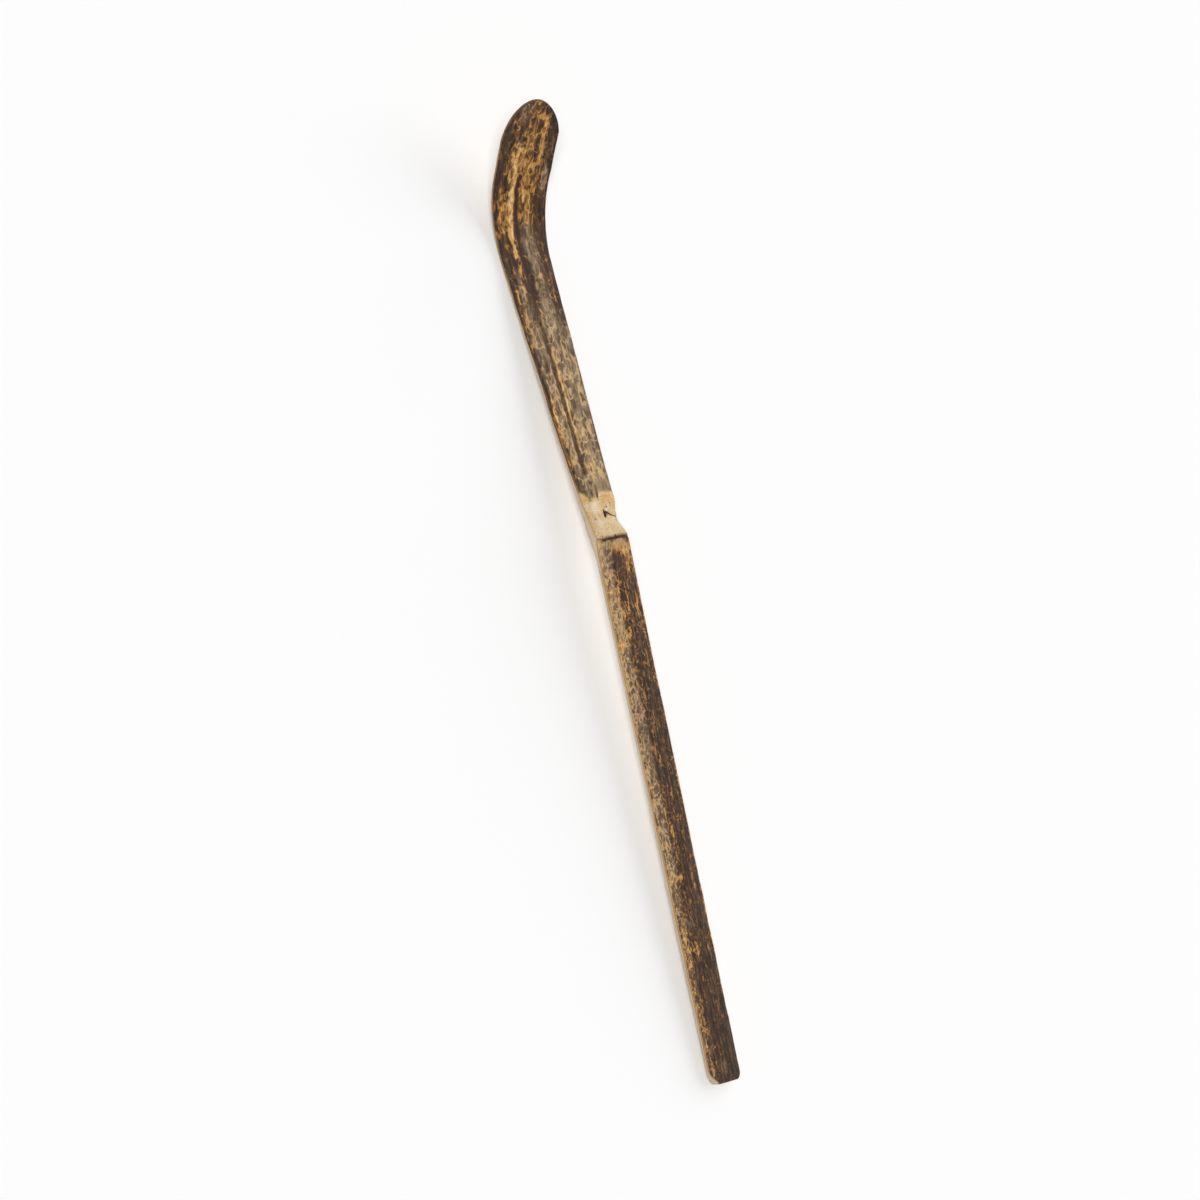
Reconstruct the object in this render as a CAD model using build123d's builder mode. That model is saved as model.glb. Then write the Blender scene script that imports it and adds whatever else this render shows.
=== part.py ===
from build123d import *
from math import asin, atan, atan2, cos, degrees, hypot, radians, sin
import os

# Chashaku tea scoop: one pared strip of mottled bamboo, lying face up on a table.
# Millimetres and degrees. +Y runs from the butt to the tip, +Z is up, and the origin is
# on the table under the middle of the scoop. A station is a distance along the face line,
# which follows the middle of the skin from the butt to the tip.

# Lengths along the face line
lower_length = 99.9
node_length = 7.5
upper_length = 44.65
bowl_length = 16.4
swell_length = 5.0
collar_length = 3.2
scar_length = 0.5

# Bends, the raised rim below the node and the step down to the upper shaft's face
node_angle = 9.7
node_rise = 0.3
node_step = 1.65
bend_radius = 15.65
bend_angle = 52.6

# Widths across the face
butt_width = 6.0
handle_width = 6.45
node_width = 6.1
collar_width = 5.5
waist_width = 6.4
neck_width = 9.6
bowl_width = 11.6

# Depths from the face line to the pared back
butt_depth = 2.4
handle_depth = 3.0
node_depth = 4.4
waist_depth = 3.1
bend_depth = 1.5
tip_depth = 0.8

# Heights of the cut sides
handle_side = 1.5
node_side = 3.2
collar_side = 2.4
waist_side = 1.8
neck_side = 0.9
bowl_side = 0.75
tip_side = 0.65

# Rise of the skin's middle over its edges, and the hollow across the scoop
handle_crown = 0.4
neck_crown = 0.4
bowl_hollow = 0.25

# Skin and knife work
rind_thickness = 0.4
pare_depth = 0.4
tip_round = 9.9
tip_fullness = 0.52
butt_corner = 1.2

# Branch groove along the upper skin, which drifts towards the middle on its way up
groove_radius = 1.0
groove_depth = 0.25
groove_offset = -1.1
groove_drift = 0.6

# Bud of the side branch
bud_width = 2.2
bud_length = 3.4
bud_seat = 0.7
bud_height = 0.3
bud_edge = 0.2
bud_offset = 1.1
bud_gap = 0.3

# Stub of the cross wall on the back of the node
stub_width = 4.4
stub_length = 1.4
stub_seat = 0.7
stub_height = 0.5
stub_edge = 0.25
stub_station = 2.0

# Room that the cutting shapes leave around the strip
margin = 3.0
trim = 0.2
far_depth = 100.0

# Cross-sections that the swelling, the node and the bend are drawn through
swell_steps = 5
node_steps = 3
bend_steps = 8

# Stations
node_start = lower_length
node_end = node_start + node_length
bud_station = node_end - bud_gap - bud_length / 2
bend_start = node_end + upper_length
bend_length = bend_radius * radians(bend_angle)
bend_end = bend_start + bend_length
tip_end = bend_end + bowl_length


def along_grain(station):
    """Place and slope of the strip's grain, before the strip is laid on the table."""
    run = min(station, node_start)
    y, z, slope = run, 0.0, 0.0
    turn = radians(node_angle) * min(max(station - node_start, 0.0), node_length) / node_length
    node_radius = node_length / radians(node_angle)
    y += node_radius * sin(turn)
    z -= node_radius * (1 - cos(turn))
    slope -= turn
    run = min(max(station - node_end, 0.0), upper_length)
    y += run * cos(slope)
    z += run * sin(slope)
    lift = min(max(station - bend_start, 0.0), bend_length) / bend_radius
    y += bend_radius * (sin(slope + lift) - sin(slope))
    z += bend_radius * (cos(slope) - cos(slope + lift))
    slope += lift
    run = max(station - bend_end, 0.0)
    return y + run * cos(slope), z + run * sin(slope), slope


def stepped(station):
    """How far the face rises to the node and steps down past it, and how fast it steps there."""
    risen = min(max(station - node_start + swell_length, 0.0), swell_length) / swell_length
    ahead = min(max(node_end - station, 0.0), node_length) / node_length
    rate = 3 * ahead**2 / node_length if node_start < station else 0.0
    fall = node_rise + node_step
    return fall * (1 - ahead**3) - node_rise * risen**2, fall * rate


def below_face(station, depth):
    """Point under the face line at a station, before the strip is laid on the table."""
    y, z, slope = along_grain(station)
    depth += stepped(station)[0]
    return y + depth * sin(slope), z - depth * cos(slope)


# The table touches the back edge of the butt and the round back of the bend
butt_y, butt_z = below_face(0, butt_depth)
centre_y, centre_z = below_face(bend_start, -bend_radius)
reach = hypot(centre_y - butt_y, centre_z - butt_z)
lay_angle = asin((bend_radius + bend_depth) / reach) - atan2(centre_z - butt_z, centre_y - butt_y)


def laid(y, z):
    """Point of the strip after it is laid on the table, from its butt's back edge."""
    y -= butt_y
    z -= butt_z
    return y * cos(lay_angle) - z * sin(lay_angle), y * sin(lay_angle) + z * cos(lay_angle)


first_y = laid(*below_face(0, 0))[0]
last_y = laid(*below_face(tip_end, tip_depth))[0]
middle_y = (first_y + last_y) / 2


def place(station, depth=0.0):
    """Point under the face line of the finished scoop, as Y and Z."""
    y, z = laid(*below_face(station, depth))
    return y - middle_y, z


def cross_plane(station):
    """Plane across the strip, with X to the right and Y out of the skin."""
    y, z = place(station)
    slope = along_grain(station)[2] + lay_angle
    return Plane(origin=(0, y, z), x_dir=(1, 0, 0), z_dir=(0, -cos(slope), -sin(slope)))


def face_plane(station):
    """Plane on the skin, with X to the right and Y towards the tip."""
    y, z = place(station)
    slope = along_grain(station)[2] + lay_angle - atan(stepped(station)[1])
    return Plane(origin=(0, y, z), x_dir=(1, 0, 0), z_dir=(0, -sin(slope), cos(slope)))


# Cross-sections: station, width, crown, side and depth
butt_cut = (0.0, butt_width, handle_crown, handle_side, butt_depth)
swell_cut = (node_start - swell_length, handle_width, handle_crown, handle_side, handle_depth)
node_cut = (node_start, node_width, handle_crown, node_side, node_depth)
collar_depth = (node_depth + waist_depth) / 2
collar_cut = (node_start + collar_length, collar_width, handle_crown, collar_side, collar_depth)
waist_cut = (node_end, waist_width, handle_crown, waist_side, waist_depth)
neck_cut = (bend_start, neck_width, neck_crown, neck_side, bend_depth)
bowl_cut = (bend_end, bowl_width, -bowl_hollow, bowl_side, bend_depth)
tip_cut = (tip_end + margin, bowl_width, -bowl_hollow, tip_side, tip_depth)


def between(first, second, share):
    """Cross-section part way from one to another."""
    return tuple(a + (b - a) * share for a, b in zip(first, second))


def swelling(share):
    """Cross-section of the handle where it swells, slowly and then faster, up to the node."""
    station = between(swell_cut, node_cut, share)[0]
    return (station,) + between(swell_cut, node_cut, share**2)[1:]


lower_cuts = [butt_cut] + [swelling(step / swell_steps) for step in range(swell_steps + 1)]
node_cuts = [between(node_cut, collar_cut, step / node_steps) for step in range(node_steps)]
node_cuts += [between(collar_cut, waist_cut, step / node_steps) for step in range(node_steps + 1)]
bend_cuts = [between(neck_cut, bowl_cut, step / bend_steps) for step in range(bend_steps + 1)]
upper_cuts = [waist_cut] + bend_cuts + [tip_cut]


def strip_section(cut):
    """Outline of the whole strip: crowned skin, cut sides and a rounded back."""
    station, width, crown, side, depth = cut
    half = width / 2
    foot = -crown - side
    belly = depth - crown - side + pare_depth
    with BuildSketch(cross_plane(station)) as section:
        with BuildLine():
            Bezier((-half, -crown), (0, crown), (half, -crown))
            Line((half, -crown), (half, foot))
            Bezier((half, foot), (0, foot - 2 * belly), (-half, foot))
            Line((-half, foot), (-half, -crown))
        make_face()
    return section.sketch


def skin_section(cut):
    """Outline of the room that the rind takes up, wider and higher than the strip."""
    station, width, crown, side, depth = cut
    half = width / 2 + margin
    edge = -rind_thickness - crown * (2 * half / width) ** 2
    middle = -2 * rind_thickness - edge
    with BuildSketch(cross_plane(station)) as section:
        with BuildLine():
            Bezier((-half, edge), (0, middle), (half, edge))
            Line((half, edge), (half, margin))
            Line((half, margin), (-half, margin))
            Line((-half, margin), (-half, edge))
        make_face()
    return section.sketch


def groove_section(station, depth):
    """Round profile of the branch groove, sunk into the skin by a depth."""
    offset = groove_offset + groove_drift * (station - node_end) / (bend_end - node_end)
    with BuildSketch(cross_plane(station)) as section:
        with Locations((offset, groove_radius - depth)):
            Circle(groove_radius)
    return section.sketch


# Cutting shapes: rind room, pared back, rounded tip and butt corners
with BuildPart() as lower_skin:
    loft(sections=[skin_section(cut) for cut in lower_cuts], ruled=True)

with BuildPart() as upper_skin:
    loft(sections=[skin_section(cut) for cut in upper_cuts], ruled=True)

with BuildPart() as pared_back:
    with BuildSketch(Plane.YZ):
        with BuildLine():
            Polyline(
                place(-margin, butt_depth),
                place(0, butt_depth),
                place(node_start - swell_length, handle_depth),
                place(node_start, node_depth),
                place(node_end, waist_depth),
                place(bend_start, bend_depth),
            )
            ThreePointArc(
                place(bend_start, bend_depth),
                place((bend_start + bend_end) / 2, bend_depth),
                place(bend_end, bend_depth),
            )
            Polyline(
                place(bend_end, bend_depth),
                place(tip_end, tip_depth),
                place(tip_end + 2 * margin, tip_depth),
                place(tip_end + 2 * margin, far_depth),
                place(-margin, far_depth),
                place(-margin, butt_depth),
            )
        make_face()
    extrude(amount=bowl_width, both=True)

with BuildPart() as tip_corners:
    with BuildSketch(face_plane(tip_end)):
        half = bowl_width / 2 + trim
        shoulder = -tip_round * (1 - tip_fullness)
        brow = half * tip_fullness
        with BuildLine():
            Bezier((-half, -tip_round), (-half, shoulder), (-brow, 0), (0, 0))
            Bezier((0, 0), (brow, 0), (half, shoulder), (half, -tip_round))
            Polyline(
                (half, -tip_round),
                (half + margin, -tip_round),
                (half + margin, 2 * margin),
                (-half - margin, 2 * margin),
                (-half - margin, -tip_round),
                (-half, -tip_round),
            )
        make_face()
    extrude(amount=2 * margin, both=True)

with BuildPart() as butt_corners:
    with BuildSketch(face_plane(0)):
        half = butt_width / 2
        for side in (-1, 1):
            with BuildLine():
                Polyline(
                    (side * (half - butt_corner - margin), -margin),
                    (side * (half + margin), -margin),
                    (side * (half + margin), butt_corner + margin),
                    close=True,
                )
            make_face()
    extrude(amount=2 * margin, both=True)

# Lower internode: handle skin, sheath scar and handle wood
with BuildPart() as lower_rind:
    loft(sections=[strip_section(cut) for cut in lower_cuts], ruled=True)
    add(lower_skin.part, mode=Mode.INTERSECT)
    add(butt_corners.part, mode=Mode.SUBTRACT)
    split(bisect_by=cross_plane(node_start - scar_length), keep=Keep.TOP)
lower_rind.part.label = "lower_rind"

with BuildPart() as sheath_scar:
    loft(sections=[strip_section(cut) for cut in lower_cuts], ruled=True)
    add(lower_skin.part, mode=Mode.INTERSECT)
    split(bisect_by=cross_plane(node_start - scar_length), keep=Keep.BOTTOM)
sheath_scar.part.label = "sheath_scar"

with BuildPart() as lower_wood:
    loft(sections=[strip_section(cut) for cut in lower_cuts], ruled=True)
    add(lower_skin.part, mode=Mode.SUBTRACT)
    add(pared_back.part, mode=Mode.SUBTRACT)
    add(butt_corners.part, mode=Mode.SUBTRACT)
lower_wood.part.label = "lower_wood"

# Node: branch bud, stub of the cross wall and the collar that holds both
with BuildPart() as branch_bud:
    with BuildSketch(face_plane(bud_station).offset(-bud_seat)):
        with Locations((bud_offset, 0)):
            Ellipse(bud_width / 2, bud_length / 2)
    extrude(amount=bud_seat + bud_height)
    fillet(branch_bud.faces().sort_by(Axis.Z)[-1].edges(), radius=bud_edge)
branch_bud.part.label = "branch_bud"

back_start = Vector(0, *place(node_start, node_depth))
back_run = Vector(0, *place(node_end, waist_depth)) - back_start
stub_plane = Plane(
    origin=back_start + back_run * (stub_station / node_length),
    x_dir=(1, 0, 0),
    z_dir=back_run.cross(Vector(1, 0, 0)),
)

with BuildPart() as diaphragm_stub:
    with BuildSketch(stub_plane.offset(-stub_seat)):
        SlotOverall(stub_width, stub_length)
    extrude(amount=stub_seat + stub_height)
    fillet(diaphragm_stub.faces().sort_by(Axis.Z)[0].edges(), radius=stub_edge)
diaphragm_stub.part.label = "diaphragm_stub"

with BuildPart() as node_collar:
    loft(sections=[strip_section(cut) for cut in node_cuts], ruled=True)
    add(pared_back.part, mode=Mode.SUBTRACT)
    with BuildSketch(face_plane(bud_station).offset(-bud_seat)):
        with Locations((bud_offset, 0)):
            Ellipse(bud_width / 2, bud_length / 2)
    extrude(amount=bud_seat + margin, mode=Mode.SUBTRACT)
    with BuildSketch(stub_plane.offset(-stub_seat)):
        SlotOverall(stub_width, stub_length)
    extrude(amount=stub_seat + margin, mode=Mode.SUBTRACT)
node_collar.part.label = "node_collar"

# Upper internode: mottled skin with its branch groove, and the wood of shaft, bend and scoop
with BuildPart() as branch_groove:
    groove_marks = [(node_end - trim, groove_depth)]
    for step in range(bend_steps + 1):
        fade = groove_depth - (groove_depth + trim) * step / bend_steps
        groove_marks.append((bend_cuts[step][0], fade))
    loft(sections=[groove_section(station, depth) for station, depth in groove_marks], ruled=True)

with BuildPart() as upper_rind:
    loft(sections=[strip_section(cut) for cut in upper_cuts], ruled=True)
    add(upper_skin.part, mode=Mode.INTERSECT)
    add(tip_corners.part, mode=Mode.SUBTRACT)
    add(branch_groove.part, mode=Mode.SUBTRACT)
upper_rind.part.label = "upper_rind"

with BuildPart() as upper_wood:
    loft(sections=[strip_section(cut) for cut in upper_cuts], ruled=True)
    add(upper_skin.part, mode=Mode.SUBTRACT)
    add(pared_back.part, mode=Mode.SUBTRACT)
    add(tip_corners.part, mode=Mode.SUBTRACT)
upper_wood.part.label = "upper_wood"

print("table angle", round(degrees(lay_angle), 3), "plan length", round(last_y - first_y, 2))

# One file for each piece
lower_pieces = [lower_rind, sheath_scar, lower_wood]
node_pieces = [branch_bud, diaphragm_stub, node_collar]
upper_pieces = [upper_rind, upper_wood]
os.makedirs("parts", exist_ok=True)
for piece in lower_pieces + node_pieces + upper_pieces:
    export_step(piece.part, f"parts/{piece.part.label}.step")
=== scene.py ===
from math import asin, atan2, cos, hypot, pi, radians, sin

import bpy
import numpy as np
from mathutils import Matrix, Vector


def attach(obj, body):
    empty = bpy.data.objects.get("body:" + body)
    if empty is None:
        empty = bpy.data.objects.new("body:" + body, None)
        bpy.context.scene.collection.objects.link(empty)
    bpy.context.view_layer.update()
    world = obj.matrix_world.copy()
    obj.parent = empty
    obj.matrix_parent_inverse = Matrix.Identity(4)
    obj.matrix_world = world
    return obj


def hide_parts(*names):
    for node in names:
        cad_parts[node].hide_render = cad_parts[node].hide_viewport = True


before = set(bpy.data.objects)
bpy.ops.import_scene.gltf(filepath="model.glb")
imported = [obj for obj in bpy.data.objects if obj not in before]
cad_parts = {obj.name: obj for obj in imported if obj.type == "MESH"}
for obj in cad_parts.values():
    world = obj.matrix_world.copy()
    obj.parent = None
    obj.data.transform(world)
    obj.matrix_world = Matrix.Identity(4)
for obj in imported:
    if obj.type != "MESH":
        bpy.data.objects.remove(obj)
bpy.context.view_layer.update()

# Looks of a bamboo tea scoop. Lengths are millimetres until a mesh is made. A station is a
# distance along the face line from the butt to the tip, x runs across the skin to its right,
# and depth goes in from the face line.
MM = 0.001

# Lengths along the face line
lower_length = 99.9
node_length = 7.5
upper_length = 44.65
bowl_length = 16.4
swell_length = 5.0
collar_length = 3.2
scar_length = 0.5

# Bends, the raised rim below the node and the step down to the upper shaft's face
node_angle = radians(9.7)
node_rise = 0.3
node_step = 1.65
bend_radius = 15.65
bend_angle = radians(52.6)

# Skin and knife work
rind_thickness = 0.4
pare_depth = 0.4
pare_ease = 0.15
edge_ease = 0.2
back_ease = 0.3
butt_ease = 0.15
scar_sink = 0.1

# Rounded tip: its length, the fullness of its curve, and how much of the curve is drawn
tip_round = 9.9
tip_fullness = 0.52
tip_trim = 0.2
tip_stop = 0.985

# Cut corners of the butt: a slanting facet on the left, deepest at the skin, and a round on the right
facet_length = 1.75
facet_skin_width = 1.6
facet_back_width = 0.5
back_round = 0.7
round_length = 1.6
round_width = 1.0

# How far the right side stands out along the strip: at the scar, the waist of the node and the bud
right_swell = 0.1
right_stations = (88.0, 96.0, 99.3, 100.3, 102.4, 104.2, 106.2, 108.5, 112.0)
right_bulges = (0.0, 0.1, 0.15, 0.0, -0.28, -0.1, 0.3, 0.1, 0.0)

# Branch groove
groove_depth = 0.25
groove_half_width = 0.75
groove_offset = -1.1
groove_drift = 0.6
groove_rise = 5.0

# Stations
node_start = lower_length
swell_start = node_start - swell_length
scar_start = node_start - scar_length
node_end = node_start + node_length
bend_start = node_end + upper_length
bend_end = bend_start + bend_radius * bend_angle
tip_end = bend_end + bowl_length
tip_start = tip_end - tip_round

# Cross-sections: station, width, crown, side and depth
WIDTH, CROWN, SIDE, DEPTH = range(1, 5)
butt_cut = (0.0, 6.0, 0.4, 1.5, 2.4)
swell_cut = (swell_start, 6.45, 0.4, 1.5, 3.0)
node_cut = (node_start, 6.1, 0.4, 3.2, 4.4)
collar_cut = (node_start + collar_length, 5.5, 0.4, 2.4, 3.75)
waist_cut = (node_end, 6.4, 0.4, 1.8, 3.1)
neck_cut = (bend_start, 9.6, 0.4, 0.9, 1.5)
bowl_cut = (bend_end, 11.6, -0.25, 0.75, 1.5)
tip_cut = (tip_end, 11.6, -0.25, 0.65, 0.8)
swell_steps = 5


def swelling(share):
    """Cross-section where the handle swells, slowly and then faster, up to the node."""
    station = swell_start + swell_length * share
    sizes = [a + (b - a) * share**2 for a, b in zip(swell_cut[1:], node_cut[1:])]
    return (station, *sizes)


CUTS = [butt_cut] + [swelling(step / swell_steps) for step in range(swell_steps + 1)]
CUTS += [collar_cut, waist_cut, neck_cut, bowl_cut, tip_cut]
table_step = 0.1
table_margin = 15.0
TABLE = np.arange(-table_margin, tip_end + table_margin, table_step)


def profile(column, reach):
    """A size along the strip, read from the cross-sections with its corners eased over a reach."""
    table = np.interp(TABLE, [cut[0] for cut in CUTS], [cut[column] for cut in CUTS])
    steps = np.arange(-4 * reach, 4 * reach, table_step)
    weights = np.exp(-((steps / reach) ** 2))
    ends = len(weights)
    padded = np.pad(table, ends, mode="edge")
    eased = np.convolve(padded, weights / weights.sum(), mode="same")[ends:-ends]
    return lambda station: np.interp(station, TABLE, eased)


width_at = profile(WIDTH, 0.7)
crown_at = profile(CROWN, 1.5)
side_at = profile(SIDE, 0.9)
depth_at = profile(DEPTH, 0.9)


# Fields over x and station
def smooth(value, low, high):
    """0 below low, 1 above high, and a smooth rise between."""
    share = np.clip((value - low) / (high - low), 0.0, 1.0)
    return share * share * (3 - 2 * share)


def band(value, low, high, soft):
    """1 between low and high, with soft ends."""
    return smooth(value, low - soft, low + soft) * (1 - smooth(value, high - soft, high + soft))


def noise(a, b, seed):
    """Smooth seeded random field over two coordinates, from -1 to 1."""
    ai, bi = np.floor(a).astype(np.int64), np.floor(b).astype(np.int64)
    fa, fb = a - ai, b - bi
    fa = fa**3 * (fa * (fa * 6 - 15) + 10)
    fb = fb**3 * (fb * (fb * 6 - 15) + 10)

    def corner(i, j):
        mixed = (i * 374761393 + j * 668265263 + seed * 974634779) & 0xFFFFFFFF
        mixed = ((mixed ^ (mixed >> 13)) * 1274126177) & 0xFFFFFFFF
        return ((mixed ^ (mixed >> 16)) & 0xFFFF) / 32767.5 - 1

    near = corner(ai, bi) * (1 - fa) + corner(ai + 1, bi) * fa
    far = corner(ai, bi + 1) * (1 - fa) + corner(ai + 1, bi + 1) * fa
    return near * (1 - fb) + far * fb


def spots(x, station, marks):
    """Sum of soft ovals, each given by station, x, half length, half width and strength."""
    total = np.zeros(np.shape(station))
    for at, across, length, width, strength in marks:
        reach = ((station - at) / length) ** 2 + ((x - across) / width) ** 2
        total += strength * np.exp(-(reach**2))
    return total


def strokes(x, station, lines):
    """Strongest of soft lines, each given by its points (station, x), half width and strength."""
    total = np.zeros(np.shape(station))
    for points, width, strength in lines:
        for (s0, x0), (s1, x1) in zip(points, points[1:]):
            ds, dx = s1 - s0, x1 - x0
            share = ((station - s0) * ds + (x - x0) * dx) / (ds * ds + dx * dx)
            share = np.clip(share, 0.0, 1.0)
            away = np.hypot(station - s0 - share * ds, x - x0 - share * dx)
            total = np.maximum(total, strength * np.exp(-((away / width) ** 4)))
    return total


# The strip's path
def along_grain(station):
    """Place and slope of the strip's grain, before the strip is laid on the table."""
    turn = node_angle * np.clip((station - node_start) / node_length, 0.0, 1.0)
    lift = np.clip((station - bend_start) / bend_radius, 0.0, bend_angle)
    y = np.minimum(station, node_start)
    node_radius = node_length / node_angle
    y = y + node_radius * np.sin(turn)
    z = -node_radius * (1 - np.cos(turn))
    run = np.clip(station - node_end, 0.0, upper_length)
    y = y + run * np.cos(turn)
    z = z - run * np.sin(turn)
    slope = lift - turn
    y = y + bend_radius * (np.sin(slope) + np.sin(turn))
    z = z + bend_radius * (np.cos(turn) - np.cos(slope))
    run = np.maximum(station - bend_end, 0.0)
    return y + run * np.cos(slope), z + run * np.sin(slope), slope


def below_face(station, depth):
    """Points under the face line, which steps down across the node."""
    y, z, slope = along_grain(station)
    risen = np.clip((station - swell_start) / swell_length, 0.0, 1.0)
    ahead = np.clip((node_end - station) / node_length, 0.0, 1.0)
    depth = depth + (node_rise + node_step) * (1 - ahead**3) - node_rise * risen**2
    return y + depth * np.sin(slope), z - depth * np.cos(slope)


# The strip lies on the back edge of its butt and the round back of its bend
butt_y, butt_z = below_face(0.0, butt_cut[DEPTH])
centre_y, centre_z = below_face(bend_start, -bend_radius)
bend_reach = hypot(centre_y - butt_y, centre_z - butt_z)
back_radius = bend_radius + bowl_cut[DEPTH]
lay_angle = asin(back_radius / bend_reach) - atan2(centre_z - butt_z, centre_y - butt_y)


def laid(station, depth):
    """Points under the face line of the strip as it lies on the table."""
    y, z = below_face(station, depth)
    y = y - butt_y
    z = z - butt_z
    return y * cos(lay_angle) - z * sin(lay_angle), y * sin(lay_angle) + z * cos(lay_angle)


middle_y = (laid(0.0, 0.0)[0] + laid(tip_end, tip_cut[DEPTH])[0]) / 2

# How far the sheath scar strays down the handle, across the skin
scar_across = (-3.0, -2.0, -1.0, 0.0, 1.5, 3.2)
scar_stray = (0.35, 0.28, 0.15, 0.25, 0.2, 0.45)
scar_reach = 1.6


def strip_points(x, station, depth):
    """Places in metres of points given across, along and below the face line."""
    near_scar = np.exp(-(((station - scar_start) / scar_reach) ** 2))
    y, z = laid(station - near_scar * np.interp(x, scar_across, scar_stray), depth)
    return np.stack([x, y - middle_y, z], axis=-1) * MM


# Lines on the node's face, each as points (station, x): the pit under the bud, the crease that runs
# from it to the right side, and the lip beside them
PIT = ((103.55, 0.32), (104.7, 0.4))
CREASE = ((104.65, 0.45), (104.15, 0.95), (103.65, 1.5))
CREASE_END = ((103.65, 1.5), (103.3, 2.2), (103.1, 2.8))
LIP = ((105.0, 0.75), (104.6, 1.25), (104.15, 1.85), (103.7, 2.6))

# Those lines with their half widths and depths, and a fine wrinkle across the left of the node
NODE_LINES = [(PIT, 0.22, 0.55), (CREASE, 0.13, 0.22), (CREASE_END, 0.13, 0.1), (LIP, 0.4, -0.14)]
wrinkle_station = 103.6
wrinkle_wave = 0.15
wrinkle_half_width = 0.14
wrinkle_depth = 0.05
wrinkle_end = 0.2


# Unevenness of the skin, the groove, the node and the back
def skin_relief(x, station):
    """Small waves and streaks of the skin, out of the face."""
    waves = 0.05 * noise(x * 0.7, station * 0.08, 3)
    streaks = 0.028 * noise(x * 2.4, station * 0.2, 4)
    grains = 0.012 * noise(x * 5.0, station * 0.9, 5)
    return waves + streaks + grains


def groove(x, station):
    """Depth of the branch groove, which rises out of the node and runs out in the scoop."""
    line = groove_offset + groove_drift * (station - node_end) / (bend_end - node_end)
    away = (x - line) / groove_half_width
    share = smooth(station, node_end, node_end + groove_rise)
    share = share * (1 - smooth(station, bend_start, bend_end))
    return groove_depth * share * np.exp(-(away**4))


def node_relief(x, station):
    """Depth of the pit, the crease and the wrinkle, less the lip."""
    away = (station - wrinkle_station - wrinkle_wave * np.sin(2 * x)) / wrinkle_half_width
    relief = wrinkle_depth * np.exp(-(away**2)) * (x < wrinkle_end)
    for points, width, depth in NODE_LINES:
        relief += depth * strokes(x, station, [(points, width, 1.0)])
    return relief


def skin_depth(x, station):
    """Depth of the skin under the face line."""
    half = width_at(station) / 2
    crown = crown_at(station) * (x / half) ** 2
    inside_node = band(station, node_start + 0.4, node_end - 0.2, 0.3)
    return crown + groove(x, station) + inside_node * node_relief(x, station) - skin_relief(x, station)


def back_depth(x, station):
    """Depth of the rounded back, pared flat along its middle."""
    half = width_at(station) / 2
    foot = crown_at(station) + side_at(station)
    depth = depth_at(station)
    belly = foot + (depth - foot + pare_depth) * (1 - (x / half) ** 2)
    facets = 0.03 * noise(x * 0.6, station * 0.16, 8)
    return (belly + depth - np.sqrt((belly - depth) ** 2 + pare_ease**2)) / 2 + facets


# Rings: stations, half widths to each side and the outline's slopes
left_seed = 21
right_seed = 31


def tip_outline():
    """Stations and half widths round the tip, from the straight side to the end."""
    half = bowl_cut[WIDTH] / 2 + tip_trim
    t = np.linspace(0.0, tip_stop, tip_rings)
    shoulder = -tip_round * (1 - tip_fullness)
    across = half * ((1 - t) ** 3 + 3 * t * (1 - t) ** 2 + 3 * tip_fullness * t**2 * (1 - t))
    along = -tip_round * (1 - t) ** 3 + 3 * shoulder * t * (1 - t) ** 2
    return tip_end + along, across


def edge_wander(station, seed):
    """Slow unevenness of a cut side."""
    still = np.zeros_like(station)
    return 0.05 * noise(station * 0.21, still, seed) + 0.02 * noise(station * 0.8, still, seed + 1)


def from_butt(station, length):
    """1 at the butt, falling evenly to 0 at a length from it."""
    return np.clip(1 - station / length, 0.0, 1.0)


def rounding(share):
    """Drop along a quarter circle, from 0 to 1."""
    return 1 - np.sqrt(1 - share**2)


def butt_sink(station):
    """How far the faces sink beside the butt's end."""
    return butt_ease * rounding(from_butt(station, butt_ease))


class Rings:
    """Stations along a piece with its outline on both sides, at a level from skin (0) to back (1)."""

    def __init__(self, stations, level, halves):
        self.station = stations
        nominal = width_at(stations) / 2
        halves = np.minimum(nominal, halves)
        fade = halves / nominal
        facet = facet_skin_width + (facet_back_width - facet_skin_width) * level
        left = halves + fade * edge_wander(stations, left_seed)
        left -= facet * from_butt(stations, facet_length)
        left -= back_round * level * rounding(from_butt(stations, back_round))
        right = halves + fade * (edge_wander(stations, right_seed) + right_swell)
        right -= round_width * rounding(from_butt(stations, round_length))
        right += np.interp(stations, right_stations, right_bulges)
        self.sides = {-1: (left, *self.outward(left)), 1: (right, *self.outward(right))}

    def outward(self, half):
        """Outward direction of a side, across and along."""
        across, along = np.gradient(half), np.gradient(self.station)
        length = np.hypot(across, along)
        return along / length, -across / length

    def at(self, side, inset):
        """x and station of the left (-1) or right (1) side's line, moved in by an inset."""
        half, across, along = self.sides[side]
        return side * (half - inset * across), self.station - inset * along

    def across(self, share, inset):
        """x and station of the line part way from the left side (0) to the right side (1)."""
        left_x, left_s = self.at(-1, inset)
        right_x, right_s = self.at(1, inset)
        return left_x + (right_x - left_x) * share, left_s + (right_s - left_s) * share


# Each column is one line along a piece: x, station, depth and the distance below the skin
ease_lines = 4
seam_lines = 13
side_lines = 4
deep_below = 5.0


def edge_columns(rings, side, ease, column):
    """Lines round an eased edge, from the face to the side."""
    angles = np.linspace(0.0, pi / 2, ease_lines)
    return [column(*rings.at(side, ease * (1 - sin(a))), ease * (1 - cos(a))) for a in angles]


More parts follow.
